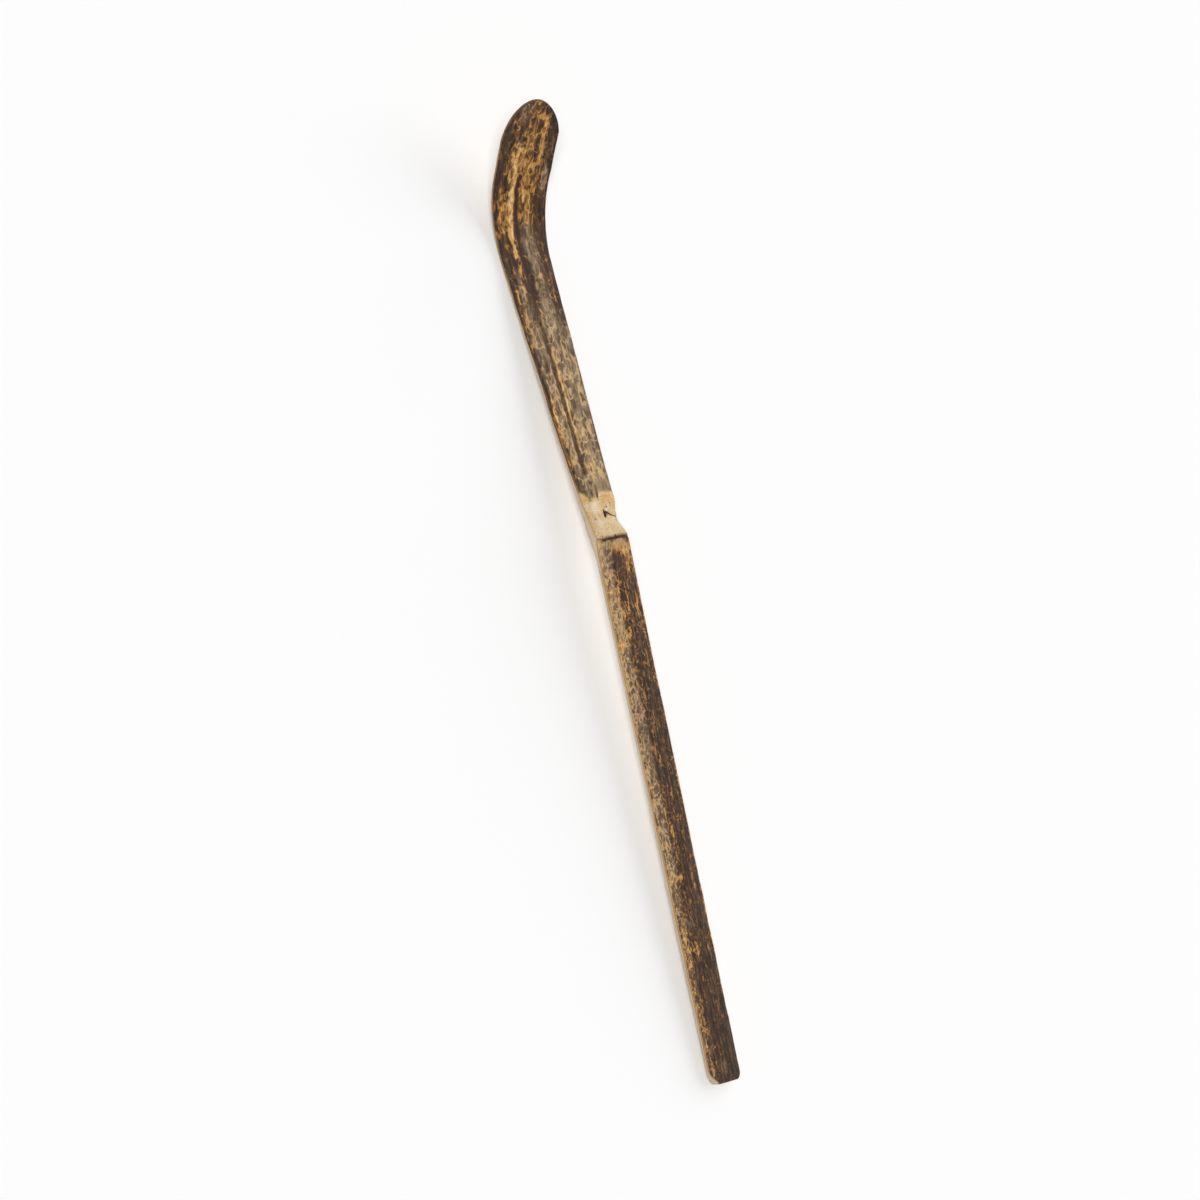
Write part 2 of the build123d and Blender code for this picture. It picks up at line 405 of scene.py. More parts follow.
def face_columns(rings, count, sunk):
    """Lines of the skin from its left edge to its right, round the eased edges."""

    def column(x, station, drop):
        depth = skin_depth(x, station) + drop + butt_sink(station) + sunk
        return x, station, depth, np.full_like(x, drop)

    left = edge_columns(rings, -1, edge_ease, column)[::-1]
    shares = np.linspace(0.0, 1.0, count)[1:-1]
    middle = [column(*rings.across(share, edge_ease), 0.0) for share in shares]
    return left + middle + edge_columns(rings, 1, edge_ease, column)


def back_columns(rings, count):
    """Lines of the back from its right edge to its left, with eased edges."""

    def column(x, station, rise):
        depth = back_depth(x, station) - rise - butt_sink(station)
        return x, station, depth, depth - skin_depth(x, station)

    right = edge_columns(rings, 1, back_ease, column)[::-1]
    middle = []
    for share in np.linspace(1.0, 0.0, count)[1:-1]:
        x, station, depth, below = column(*rings.across(share, back_ease), 0.0)
        middle.append((x, station, depth, np.full_like(below, deep_below)))
    return right + middle + edge_columns(rings, -1, back_ease, column)


def under_skin_columns(rings):
    """Lines where skin and wood meet, from right to left."""
    columns = []
    for share in np.linspace(1.0, 0.0, seam_lines):
        x, station = rings.across(share, 0.0)
        half = width_at(station) / 2
        depth = rind_thickness + crown_at(station) * (x / half) ** 2
        columns.append((x, station, depth, np.full_like(x, rind_thickness)))
    return columns


def side_columns(first, last):
    """Lines on a cut side between two of its lines."""
    shares = np.linspace(0.0, 1.0, side_lines + 2)[1:-1]
    return [tuple(a + (b - a) * share for a, b in zip(first, last)) for share in shares]


def closed(first, second):
    """Lines right round a piece, from its upper and its lower lines."""
    return first + side_columns(first[-1], second[0]) + second + side_columns(second[-1], first[0])


# Meshes
def new_object(name, data):
    """A new object in the scene."""
    made = bpy.data.objects.new(name, data)
    bpy.context.scene.collection.objects.link(made)
    return made


def ring_faces(rings, points, turned=False):
    """Faces between rings of points and the two ends, or the same faces turned over."""
    index = np.arange(rings * points).reshape(rings, points)
    after = np.roll(index, -1, axis=1)
    corners = [index[:-1], index[1:], after[1:], after[:-1]]
    ends = [index[0], index[-1][::-1]]
    if turned:
        corners = corners[:1] + corners[:0:-1]
        ends = [end[::-1] for end in ends]
    quads = np.stack(corners, axis=-1).reshape(-1, 4)
    return quads.tolist() + [end.tolist() for end in ends]


def new_piece(name, x, station, depth, below, marks, faces, smooth_ends):
    """A piece on the strip, whose points keep their places in the grain and their marks."""
    mesh = bpy.data.meshes.new(name)
    mesh.from_pydata(strip_points(x, station, depth).reshape(-1, 3).tolist(), [], faces)
    grain = mesh.attributes.new("grain", "FLOAT_VECTOR", "POINT")
    grain.data.foreach_set("vector", np.stack([x, station, below], axis=-1).ravel())
    layer = mesh.attributes.new("marks", "FLOAT_COLOR", "POINT")
    layer.data.foreach_set("color", np.stack(marks(x, station), axis=-1).ravel())
    mesh.polygons.foreach_set("use_smooth", [True] * (len(faces) - 2) + [smooth_ends] * 2)
    return new_object(name, mesh)


def loft(name, columns, marks):
    """A closed piece through lines along it."""
    x, station, depth, below = (np.stack(part, axis=1) for part in zip(*columns))
    piece = new_piece(name, x, station, depth, below, marks, ring_faces(*x.shape), False)
    bake_map(piece.data, *x.shape)
    return piece


# Sizes on the bake map
map_foot = 0.04
map_height = 0.95
map_circle = 0.015


def bake_map(mesh, rings, points):
    """A map that lays the piece out along and round, with its two ends as circles at the foot."""
    around = np.arange(points + 1) / points
    along = map_foot + map_height * np.arange(rings) / (rings - 1)
    grid = np.stack(np.meshgrid(around, along), axis=-1)
    corners = [grid[:-1, :-1], grid[1:, :-1], grid[1:, 1:], grid[:-1, 1:]]
    uv = np.stack(corners, axis=2).reshape(-1, 2)
    turn = 2 * pi * np.arange(points) / points
    circle = map_circle * np.stack([np.cos(turn), np.sin(turn)], axis=-1) + map_foot / 2
    uv = np.concatenate([uv, circle, circle[::-1] + (map_foot, 0.0)])
    layer = mesh.uv_layers.new(name="OFBake")
    layer.uv.foreach_set("vector", uv.ravel())


# Marks on the skin: ovals give station, x, half length, half width and strength, and
# strokes give their points as (station, x), half width and strength
GOLD_SPOTS = [
    (3.3, -1.2, 1.2, 0.25, 0.7), (6.8, -1.3, 1.2, 0.35, 0.8), (10.6, 0.1, 0.4, 0.4, 0.8),
    (14.3, 1.2, 0.8, 0.25, 0.6), (17.0, 0.3, 1.1, 0.2, 0.7), (17.0, -1.0, 2.0, 0.2, 0.6),
    (15.5, -1.8, 1.5, 0.3, 0.6), (23.0, 2.2, 1.1, 0.25, 0.6), (24.7, 1.9, 0.5, 0.3, 0.6),
    (25.0, -0.5, 1.8, 0.25, 0.9), (25.0, -1.4, 0.9, 0.5, 0.8), (31.0, -1.6, 1.2, 0.4, 0.7),
    (35.2, 0.6, 0.5, 0.3, 0.5), (37.3, 1.7, 2.4, 0.25, 0.7), (41.5, 2.3, 1.5, 0.3, 0.6),
    (37.5, -0.9, 1.2, 0.6, 0.8), (45.2, -0.4, 2.6, 0.22, 0.9), (48.4, 0.9, 1.0, 0.5, 0.6),
    (47.0, 1.8, 2.0, 0.22, 0.6), (53.2, 0.9, 1.2, 0.25, 0.7), (52.0, 2.1, 1.2, 0.4, 0.5),
    (52.6, -0.6, 1.9, 0.2, 0.7), (57.7, 1.8, 0.8, 0.5, 0.6), (58.3, 0.2, 1.3, 0.4, 0.8),
    (61.0, 1.5, 1.0, 0.3, 0.6), (63.0, 0.1, 0.8, 0.3, 0.5), (67.0, 2.1, 0.7, 0.4, 0.6),
    (72.8, 0.5, 2.0, 0.2, 0.8), (71.0, -0.3, 3.0, 0.22, 0.8), (75.8, 1.6, 0.6, 0.4, 0.6),
    (77.8, 1.3, 0.35, 0.3, 0.9), (77.8, -0.7, 0.8, 0.4, 0.6), (80.6, 0.8, 1.2, 0.25, 0.7),
    (82.3, -0.8, 1.3, 0.5, 0.8), (83.0, 2.0, 0.8, 0.4, 0.7), (86.0, 2.3, 4.0, 0.35, 0.8),
    (86.6, 1.6, 0.7, 0.4, 0.7), (86.4, -0.4, 1.1, 0.9, 0.9), (88.2, 0.5, 1.9, 0.22, 0.8),
    (91.0, 1.1, 1.2, 0.3, 0.7), (92.8, 1.8, 1.2, 0.4, 0.7), (96.3, -1.7, 1.6, 0.6, -0.9),
    (95.4, 2.2, 2.2, 0.8, 1.2), (97.4, 1.5, 1.3, 1.5, 0.6), (98.0, 1.0, 1.6, 2.4, 1.0),
    (12.0, -2.5, 9.0, 0.18, 0.6), (28.0, -2.5, 1.6, 0.3, 0.8), (43.6, -2.1, 1.0, 0.4, 0.6),
    (80.2, -2.5, 1.3, 0.5, 1.0), (90.0, -2.6, 1.2, 0.35, 0.8),
    (109.0, 2.3, 1.0, 1.0, -0.6), (109.3, 0.6, 1.2, 0.7, -0.5), (110.9, 1.9, 1.0, 0.8, 0.5),
    (113.4, 0.7, 1.3, 0.9, 0.5), (112.6, -0.65, 1.2, 0.2, 0.8), (116.4, -0.6, 1.0, 0.25, 1.0),
    (116.4, 0.8, 1.4, 0.7, 0.5), (112.6, -2.1, 0.9, 0.4, 0.8), (115.4, -2.9, 0.7, 0.35, 1.0),
    (117.5, -3.45, 5.5, 0.3, 0.6), (120.8, 2.5, 1.1, 0.4, 0.8), (121.0, 0.4, 1.8, 0.7, 0.5),
    (125.0, -0.5, 1.9, 0.2, 0.9), (123.3, -2.0, 0.7, 0.4, 0.6), (124.2, -3.2, 2.2, 0.2, 0.9),
    (130.1, 1.9, 1.2, 0.4, 0.9), (134.0, 2.3, 0.5, 0.4, 0.8), (130.0, -0.4, 2.5, 0.2, 0.6),
    (137.2, -0.4, 0.9, 0.4, 0.8), (138.5, 1.5, 1.6, 0.3, 0.5), (138.6, -3.2, 2.6, 0.3, 0.8),
    (141.3, -0.7, 1.4, 0.22, 0.7), (142.4, 3.7, 0.8, 0.3, 0.8), (143.8, 3.5, 0.6, 0.4, 0.8),
    (149.0, 3.9, 0.4, 0.3, 0.8), (149.2, 1.5, 0.5, 0.7, 0.8), (152.3, 3.7, 0.4, 0.5, 0.8),
    (147.6, -2.3, 1.2, 0.5, 0.8), (146.4, -3.8, 2.4, 0.25, 0.8), (151.2, -2.0, 0.9, 0.25, 0.8),
    (156.4, 3.2, 0.4, 0.4, 0.8), (157.8, 3.4, 0.5, 0.3, 0.8), (159.0, 1.2, 1.0, 1.1, 0.8),
    (161.8, 1.3, 2.0, 1.1, 0.6), (160.2, -3.5, 3.0, 0.9, 0.6), (164.4, -4.0, 1.0, 0.8, 0.8),
    (165.4, 0.9, 1.3, 0.9, 0.75), (169.2, 0.9, 1.6, 0.9, 0.7), (170.3, 3.2, 1.6, 0.45, 0.6),
    (170.0, -0.6, 2.2, 0.5, 0.7), (173.6, 0.4, 2.2, 0.9, 0.5), (174.6, 2.8, 2.8, 0.4, 0.5),
    (178.2, 2.9, 1.2, 0.8, 0.6), (172.4, -1.1, 0.7, 0.2, 1.0), (176.6, -0.9, 1.0, 0.2, 1.1),
    (177.0, 0.7, 2.5, 0.25, 0.8), (167.2, -2.8, 1.4, 0.3, 0.9), (171.4, -2.6, 1.6, 0.25, 0.5),
    (173.4, -4.2, 0.8, 0.4, 0.6), (176.6, -4.1, 0.8, 0.3, 0.8), (179.4, -3.6, 0.8, 0.3, 0.8),
    (182.2, 0.7, 0.4, 0.3, 0.8),
]
GOLD_STROKES = [
    (((153.0, -1.95), (156.5, -2.05)), 0.3, 2.4),
    (((156.5, -2.05), (160.0, -1.85), (164.0, -1.6)), 0.6, 2.3),
    (((164.0, -1.6), (172.4, -1.7)), 0.5, 1.2),
    (((161.4, 0.6), (164.2, 0.5)), 0.2, 1.5),
    (((115.6, -0.6), (122.0, -0.45), (128.0, -0.4), (135.0, -0.35)), 0.2, 1.3),
    (((118.0, -1.6), (126.0, -1.55), (134.0, -1.45)), 0.14, 0.9),
    (((118.0, -3.1), (124.0, -3.25), (128.0, -3.4)), 0.18, 1.1),
    (((110.6, 2.4), (112.2, 1.9), (113.6, 1.2), (113.9, 0.4), (113.0, -0.3), (111.8, -0.4)), 0.28, 0.55),
]
# Grey ovals: mostly the skin's own greyish tone, but the two long ovals on the right of the upper shaft
# and the bend, at stations 144.5 and 154.0, are painted sheen standing in for the lamp's reflection
GREY_SPOTS = [
    (3.2, -0.2, 1.4, 0.7, 0.3), (29.0, -1.0, 1.4, 0.7, 0.3), (40.0, -1.9, 1.5, 0.6, 0.8),
    (97.0, -1.7, 2.0, 1.0, 0.8), (98.2, 0.8, 1.6, 2.4, 0.2), (109.0, 2.3, 1.0, 1.0, 0.3),
    (109.3, 0.6, 1.2, 0.7, 0.3), (144.5, 1.2, 5.5, 1.2, 0.7), (154.0, 1.3, 4.6, 1.25, 0.85),
    (146.0, -2.7, 5.0, 0.7, 0.5), (166.0, 4.6, 2.8, 0.6, 0.8), (173.0, 4.5, 4.0, 0.7, 0.25),
    (180.6, -1.4, 1.7, 1.5, 0.5), (173.6, -1.9, 1.6, 0.5, 0.4),
]
DARK_STROKES = [
    (((112.5, -1.05), (119.0, -1.05), (130.0, -1.0), (142.0, -0.95)), 0.48, 0.85),
    (((1.5, -2.6), (8.0, -2.75), (20.0, -2.8)), 0.14, 0.45),
    (((142.0, -0.95), (152.0, -0.85), (160.0, -0.7), (166.5, -0.6)), 0.42, 1.0),
    (((140.0, 4.0), (150.0, 4.3), (158.0, 4.8)), 0.8, 0.65),
    (((150.0, 3.3), (163.0, 3.4)), 0.5, 0.8),
    (((110.0, 3.15), (130.0, 4.1), (141.0, 4.55)), 0.2, 0.6),
    (((123.5, -3.65), (138.0, -4.3), (145.5, -4.6)), 0.16, 0.9),
    (((165.0, -5.2), (178.0, -4.9)), 0.6, 0.8),
    (((170.0, 4.6), (177.0, 4.7)), 0.7, 0.6),
    (((179.6, 3.4), (182.4, 1.6)), 0.7, 0.6),
    (((179.0, -0.6), (181.0, -2.4)), 1.1, 0.45),
]
DARK_SPOTS = [
    (35.5, -0.6, 0.8, 0.4, 0.7), (48.5, -2.5, 1.4, 0.25, 0.7), (93.0, 0.5, 2.0, 0.7, 0.4),
    (94.9, -0.2, 1.3, 0.6, 0.4), (95.9, 0.4, 1.1, 0.45, 0.3), (97.1, 0.0, 0.7, 0.4, 0.2),
    (95.0, 0.9, 1.0, 0.4, 0.25), (96.2, 0.6, 0.5, 0.18, 1.0), (96.5, 3.0, 0.5, 0.35, 1.0),
    (98.3, 0.65, 0.22, 0.12, 0.8), (108.9, 0.4, 1.0, 2.8, 0.3), (111.0, -2.3, 0.3, 0.2, 0.8),
    (117.0, -2.7, 0.35, 0.2, 0.8), (132.3, -2.4, 1.0, 0.3, 0.7), (148.1, -2.6, 0.25, 0.25, 0.9),
    (157.8, -3.0, 0.35, 0.25, 0.9), (158.8, -2.7, 0.25, 0.2, 0.8), (159.4, -3.4, 0.25, 0.4, 0.9),
    (157.6, -2.2, 0.3, 0.14, 0.7), (159.0, -1.7, 0.35, 0.14, 0.8), (160.5, -2.05, 0.4, 0.14, 0.8),
    (161.8, -1.55, 0.35, 0.12, 0.8), (163.2, -1.85, 0.4, 0.12, 0.7), (160.4, 1.1, 0.35, 0.4, 0.7),
    (163.2, -2.3, 0.4, 0.3, 0.8), (166.4, 2.4, 0.8, 0.4, 0.9), (168.2, 2.9, 0.6, 0.5, 0.8),
    (171.3, -4.0, 0.8, 0.6, 0.9), (170.6, -4.6, 0.5, 0.4, 0.9), (175.1, -3.9, 0.5, 0.5, 0.9),
    (173.2, 2.1, 0.5, 0.3, 0.8), (176.8, 1.9, 0.7, 0.5, 0.9), (168.0, -5.1, 1.2, 0.5, 0.8),
]
mark_strength = 0.6

# Bare places on the handle's skin: the butt's cut corner, the top left corner and under the scar
HANDLE_BARE = [
    (0.0, -3.1, 1.9, 0.85, 1.0), (99.6, -3.3, 1.6, 0.8, 1.0), (98.6, 0.8, 1.1, 2.0, 0.5),
    (96.6, 2.5, 1.8, 0.5, 0.4),
]

# Edge where the bare node gives way to mottled skin
fringe_across = (-3.2, -2.2, -1.7, -0.9, -0.1, 0.3, 1.5, 3.2)
fringe_station = (108.9, 107.9, 107.1, 107.4, 107.2, 108.2, 108.3, 107.8)
fringe_soft = 0.6

# Marks on the node, in the same terms
# Dark specks on the node; the oval at station 105.8, x 2.05 is painted shade in the fold of the bud
NODE_SPECKS_AND_SHADE = [
    (99.98, 0.42, 0.2, 0.16, 1.0), (100.35, -1.95, 0.16, 0.12, 0.6), (103.45, -1.75, 0.2, 0.16, 0.7),
    (102.8, -0.6, 0.2, 0.12, 0.4), (105.32, 1.0, 0.2, 0.18, 1.0), (102.5, 2.2, 0.25, 0.16, 0.6),
    (101.9, 2.1, 0.16, 0.12, 0.4), (101.0, 1.6, 0.14, 0.1, 0.4), (101.6, -2.6, 0.14, 0.1, 0.4),
    (102.2, -0.5, 0.14, 0.12, 0.35), (101.5, -0.8, 0.12, 0.1, 0.3), (102.7, -2.4, 0.16, 0.1, 0.35),
    (103.9, -2.9, 0.2, 0.12, 0.5), (100.6, -2.7, 0.12, 0.1, 0.5), (101.2, -2.75, 0.16, 0.08, 0.4),
    (102.1, -2.65, 0.12, 0.1, 0.5), (103.1, -2.7, 0.14, 0.08, 0.4), (100.8, 2.6, 0.12, 0.1, 0.5),
    (105.8, 2.05, 0.6, 0.24, 0.5), (105.0, 2.85, 1.6, 0.14, 0.35), (104.0, 0.75, 0.45, 0.4, 0.5),
    (107.1, -0.15, 0.45, 0.2, 0.4), (107.0, -1.7, 0.3, 0.3, 0.4),
]
NODE_OCHRE = [
    (107.0, 1.4, 1.0, 1.3, 0.8), (105.9, 2.6, 1.2, 0.5, 0.5), (107.5, -2.4, 0.7, 0.9, 0.9),
    (107.5, -1.2, 0.4, 0.9, 0.6), (100.2, -2.4, 0.6, 0.7, 0.4), (99.2, -2.6, 0.5, 0.35, 0.9),
    (97.6, -2.85, 1.6, 0.25, 0.6), (104.8, -2.4, 0.8, 0.5, 0.3),
]
# Pale cream patches on the node; the small spot at station 104.82 is a painted highlight on the raised
# lip beside the pit
NODE_WHITE = [
    (104.82, 0.8, 0.24, 0.26, 0.9), (105.6, -1.1, 1.3, 1.0, 0.35), (106.4, -0.9, 0.5, 0.5, 0.2),
    (102.7, -0.9, 0.7, 0.9, 0.25), (102.5, 1.5, 0.7, 0.6, 0.2),
]
# Darker in the pit and along the crease
NODE_CREASE_DARKENING = [(PIT, 0.22, 1.0), (CREASE, 0.16, 0.9), (CREASE_END, 0.14, 0.75)]

# Stations where the skin's ground changes: the handle's light left band widens, and the greyish shaft
# gives way to the scoop
BAND_WIDENS = (16.0, 50.0)
shaft_fades = 134.0
shaft_stops = 146.0


def bare_node(x, station):
    """1 on the bare node and 0 on the mottled skin above it."""
    edge = np.interp(x, fringe_across, fringe_station) + 0.25 * noise(x * 1.7, station * 0.8, 14)
    return 1 - smooth(station, edge - fringe_soft, edge + fringe_soft)


def skin_marks(x, station):
    """How gold, grey, dark and bare the skin is, each about 0 to 1. Grey includes painted sheen on the
    right of the upper shaft and the bend, and dark includes painted shade just under the scar.
    """
    wx = x + 0.16 * noise(x * 1.6, station * 0.7, 11) + 0.08 * noise(x * 4.0, station * 1.8, 15)
    ws = station + 0.6 * noise(x * 1.3, station * 0.5, 12) + 0.25 * noise(x * 4.0, station * 1.5, 16)
    half = width_at(station) / 2
    handle = 1 - smooth(station, node_start, node_end)
    shaft = (1 - handle) * (1 - smooth(ws, shaft_fades + 4 * smooth(wx, -1.8, -0.8), shaft_stops))
    scoop = smooth(ws, bend_start + 3, bend_end - 4) * band(x / half, -0.62, 0.62, 0.16)
    right = smooth(wx, 1.8, 2.8) * smooth(ws, 136.0, 142.0)
    bare = np.where(station > node_start, bare_node(x, station), spots(x, station, HANDLE_BARE))
    widened = smooth(ws, *BAND_WIDENS)
    light_edge = -2.0 + 0.75 * widened
    light = 1 - smooth(wx, light_edge - 0.6, light_edge + 0.6)
    margin = 1 - smooth(wx + half, 0.35, 0.9)

    gold = handle * (0.55 * light + 0.14 * smooth(ws, 4.0, 28.0) + 0.16 * smooth(ws, 62.0, 92.0) - 0.58)
    gold += 0.5 * handle * smooth(wx, half - 0.3, half - 0.1) * smooth(ws, 8.0, 20.0)
    gold += 0.14 * handle * band(wx, -1.4, -0.2, 0.4) * smooth(ws, 12.0, 40.0)
    gold += 0.1 * handle * margin * smooth(ws, 16.0, 26.0)
    gold += shaft * (0.06 - 0.12 * smooth(wx, 1.0, 2.2) - 0.45 * right - 0.15 * margin)
    gold += 0.08 * shaft * band(wx, -0.3, 1.2, 0.4)
    gold += (1 - handle - shaft) * (0.39 * scoop - 0.12 * smooth(ws, 173.0, 179.0) - 0.3)
    gold += mark_strength * (spots(wx, ws, GOLD_SPOTS) + strokes(wx, ws, GOLD_STROKES))
    gold = gold * (1 - bare) + bare * spots(x, station, NODE_OCHRE)
    grey = handle * light * (0.25 + 0.5 * widened)
    grey += shaft * (0.85 - 0.5 * right) * (1 - margin) + spots(wx, ws, GREY_SPOTS)
    dark = strokes(wx, ws, DARK_STROKES) + spots(wx, ws, DARK_SPOTS)
    # Painted shade on the handle's skin just under the scar's step
    dark += 0.3 * handle * smooth(station, scar_start - 0.5, scar_start)
    return gold, np.clip(grey, 0.0, 1.0), np.minimum(dark, 1.0) * (1 - bare), bare


def node_marks(x, station):
    """How ochre, grey, dark and white the node is, each about 0 to 1. Dark includes painted shade above
    the scar and in the bud's fold, and white includes a painted highlight on the lip beside the pit.
    """
    grey = 0.6 * band(station, 100.4, 103.4, 0.3)
    dark = strokes(x, station, NODE_CREASE_DARKENING) + spots(x, station, NODE_SPECKS_AND_SHADE)
    # Painted shade in the hollow just above the scar
    dark += 0.7 * (1 - smooth(station, node_start - 0.1, node_start + 0.7))
    dark += 0.4 * (1 - bare_node(x, station))
    return spots(x, station, NODE_OCHRE), grey, np.minimum(dark, 1.0), spots(x, station, NODE_WHITE)


def no_marks(x, station):
    return [np.zeros(np.shape(station))] * 4


# Pieces lofted along the strip
ring_step = 0.2
tip_rings = 70
scar_rings = 7
skin_level = 0.1
seam_level = 0.35
back_level = 0.85
end_gaps = np.array([0.0, 0.03, 0.08, 0.15, 0.25])
end_reach = 0.4
full_width = np.inf


def stations_between(first, last, step):
    """Even stations with closer ones beside both ends."""
    middle = np.arange(first + end_reach, last - end_reach, step)
    return np.concatenate([first + end_gaps, middle, last - end_gaps[::-1]])


def skin_piece(name, stations, halves, count, sunk=0.0):
    """A closed shell of skin."""
    face = face_columns(Rings(stations, skin_level, halves), count, sunk)
    under = under_skin_columns(Rings(stations, seam_level, halves))
    return loft(name, closed(face, under), skin_marks)


def wood_piece(name, stations, halves, count):
    """The wood under a skin: cut sides and pared back."""
    top = under_skin_columns(Rings(stations, seam_level, halves))[::-1]
    back = back_columns(Rings(stations, back_level, halves), count)
    return loft(name, closed(top, back), no_marks)


def collar_piece(name, stations, face_count, back_count):
    """The whole section of the node."""
    rings = Rings(stations, skin_level, full_width)
    face = face_columns(rings, face_count, 0.0)
    back = back_columns(rings, back_count)
    return loft(name, closed(face, back), node_marks)


tip_stations, tip_halves = tip_outline()
shaft_stations = np.arange(node_end, tip_start - ring_step / 2, ring_step)
upper_stations = np.concatenate([shaft_stations, tip_stations])
upper_halves = np.concatenate([np.full(len(shaft_stations), full_width), tip_halves])
skin_stations = stations_between(0.0, scar_start, ring_step)
handle_stations = stations_between(0.0, node_start, ring_step)
scar_stations = np.linspace(scar_start, node_start, scar_rings)
collar_stations = stations_between(node_start, node_end, ring_step / 2)

upper_skin = skin_piece("upper_skin", upper_stations, upper_halves, 81)
upper_wood = wood_piece("shaft_and_scoop_wood", upper_stations, upper_halves, 41)
handle_skin = skin_piece("handle_skin", skin_stations, full_width, 61)
handle_wood = wood_piece("handle_wood", handle_stations, full_width, 31)
scar = skin_piece("sheath_scar_line", scar_stations, full_width, 61, scar_sink)
collar = collar_piece("node_ridge", collar_stations, 81, 31)

# Domed pieces: the bud over the crease, and the stub of the cross wall, which rises from the back
dome_rings = 12
dome_turn = np.linspace(0.0, 2 * pi, 64, endpoint=False)
bud_x = 1.5
bud_station = 105.9
bud_half_width = 1.0
bud_half_length = 1.3
bud_lean = 0.35
bud_height = 0.14
bud_seat = 0.5
stub_station = node_start + 2.0
stub_half_width = 2.2
stub_half_length = 0.7
stub_height = -0.45
stub_seat = -0.6


def dome(name, across, along, height, seat, depth_of, marks):
    """A closed dome on an outline of x and station, seated below the surface that it rises from."""
    angles = np.linspace(0.0, 1.0, dome_rings)[:-1, None] * pi / 2
    scale = np.concatenate([[[1.0]], np.cos(angles)])
    rise = np.concatenate([[[-seat]], height * np.sin(angles)])
    x = across.mean() + (across - across.mean()) * scale
    station = along.mean() + (along - along.mean()) * scale
    depth = depth_of(x, station) - rise
    faces = ring_faces(*x.shape, turned=True)
    return new_piece(name, x, station, depth, np.zeros_like(x), marks, faces, True)


def squared(wave, power):
    """A wave made squarer, for an outline between an oval and a rectangle."""
    return np.sign(wave) * np.abs(wave) ** power


dome_cos, dome_sin = np.cos(dome_turn), np.sin(dome_turn)
bud_across = bud_x + bud_half_width * dome_cos
bud_along = bud_station + bud_half_length * dome_sin - bud_lean * dome_cos
bud = dome("side_bud", bud_across, bud_along, bud_height, bud_seat, skin_depth, node_marks)
stub_across = stub_half_width * squared(dome_cos, 0.6)
stub_along = stub_station - stub_half_length * squared(dome_sin, 0.7)
stub = dome("cross_wall_stub", stub_across, stub_along, stub_height, stub_seat, back_depth, no_marks)


# Tones as they look on a screen, 0 to 255: the mottled skin
CHAR_DARK = (50, 39, 31)
CHAR_LIGHT = (82, 62, 45)
RUST = (116, 81, 50)
OCHRE_DARK = (140, 93, 48)
OCHRE_LIGHT = (210, 158, 86)
GOLD = (234, 200, 142)
# Greyish haze of the skin; on the right of the upper shaft and the bend these tones are painted sheen
HAZE_DARK = (102, 83, 64)
HAZE_LIGHT = (150, 128, 101)
HAZE_CLUMP = (200, 168, 120)
HAZE_WEB = (208, 180, 138)
SKIN_SPECK = (74, 52, 36)
SKIN_FIBRE = (56, 40, 30)
# Dark marks of the skin, also used for the painted shade under the scar
SKIN_STAIN_AND_SHADE = (64, 44, 31)
SKIN_TIP = (96, 70, 48)

# The skin's eased edge, pale on the handle as a painted highlight, and the line under it
HANDLE_EDGE_HIGHLIGHT = (204, 168, 116)
HANDLE_LINE = (170, 126, 78)
SHAFT_EDGE = (150, 114, 76)
SHAFT_LINE = (100, 77, 53)
SCOOP_LINE = (156, 128, 96)
BUTT_FACET = (206, 180, 146)

# Bare bamboo and the node
BARE_PALE = (216, 192, 152)
BARE_TAN = (202, 170, 122)
BARE_OCHRE = (214, 164, 94)
BARE_FIBRE = (188, 154, 106)
BARE_WRINKLE = (184, 150, 108)
NODE_GREY = (208, 186, 150)
NODE_PORE = (150, 116, 80)
NODE_RIM = (158, 118, 74)
NODE_DARK = (66, 46, 34)
# Pale cream of the node, also used for the painted highlight on the lip
NODE_WHITE_AND_HIGHLIGHT = (238, 226, 204)

# Pared wood
WOOD_PALE = (214, 195, 166)
WOOD_TAN = (202, 179, 144)
WOOD_FIBRE = (184, 152, 113)
WOOD_BUNDLE = (152, 116, 80)
WOOD_TIP = (104, 76, 52)

# The scar
SCAR_DARK = (50, 40, 34)
SCAR_BROWN = (84, 62, 48)
SCAR_EDGE = (146, 108, 70)
SCAR_WORN = (196, 162, 114)
SCAR_SIDE = (206, 178, 136)

# Sheen of the bamboo, where the noises start, and where the tip's worn edge is full
bamboo_sheen = 0.2
noise_start = (0.31, 0.17, 0.43)
tip_worn = tip_end - 2.0

# How large the mottling is drawn, and the calmer skin on both sides of the node
handle_mottle = 1.0
upper_mottle = 1.7
calm_middle = 103.6
calm_full = 5.0
calm_reach = 9.0


# Materials
def linear(tint):
    """The linear colour of a screen colour. A socket stays as it is."""
    if isinstance(tint, bpy.types.NodeSocket):
        return tint
    parts = [part / 255 for part in tint]
    return (*[p / 12.92 if p <= 0.04045 else ((p + 0.055) / 1.055) ** 2.4 for p in parts], 1.0)


def fill(node, inputs):
    """Link sockets to a node's inputs, or write plain values there."""
    for key, value in inputs.items():
        if isinstance(value, bpy.types.NodeSocket):
            node.id_data.links.new(value, node.inputs[key])
        else:
            node.inputs[key].default_value = value
    return node


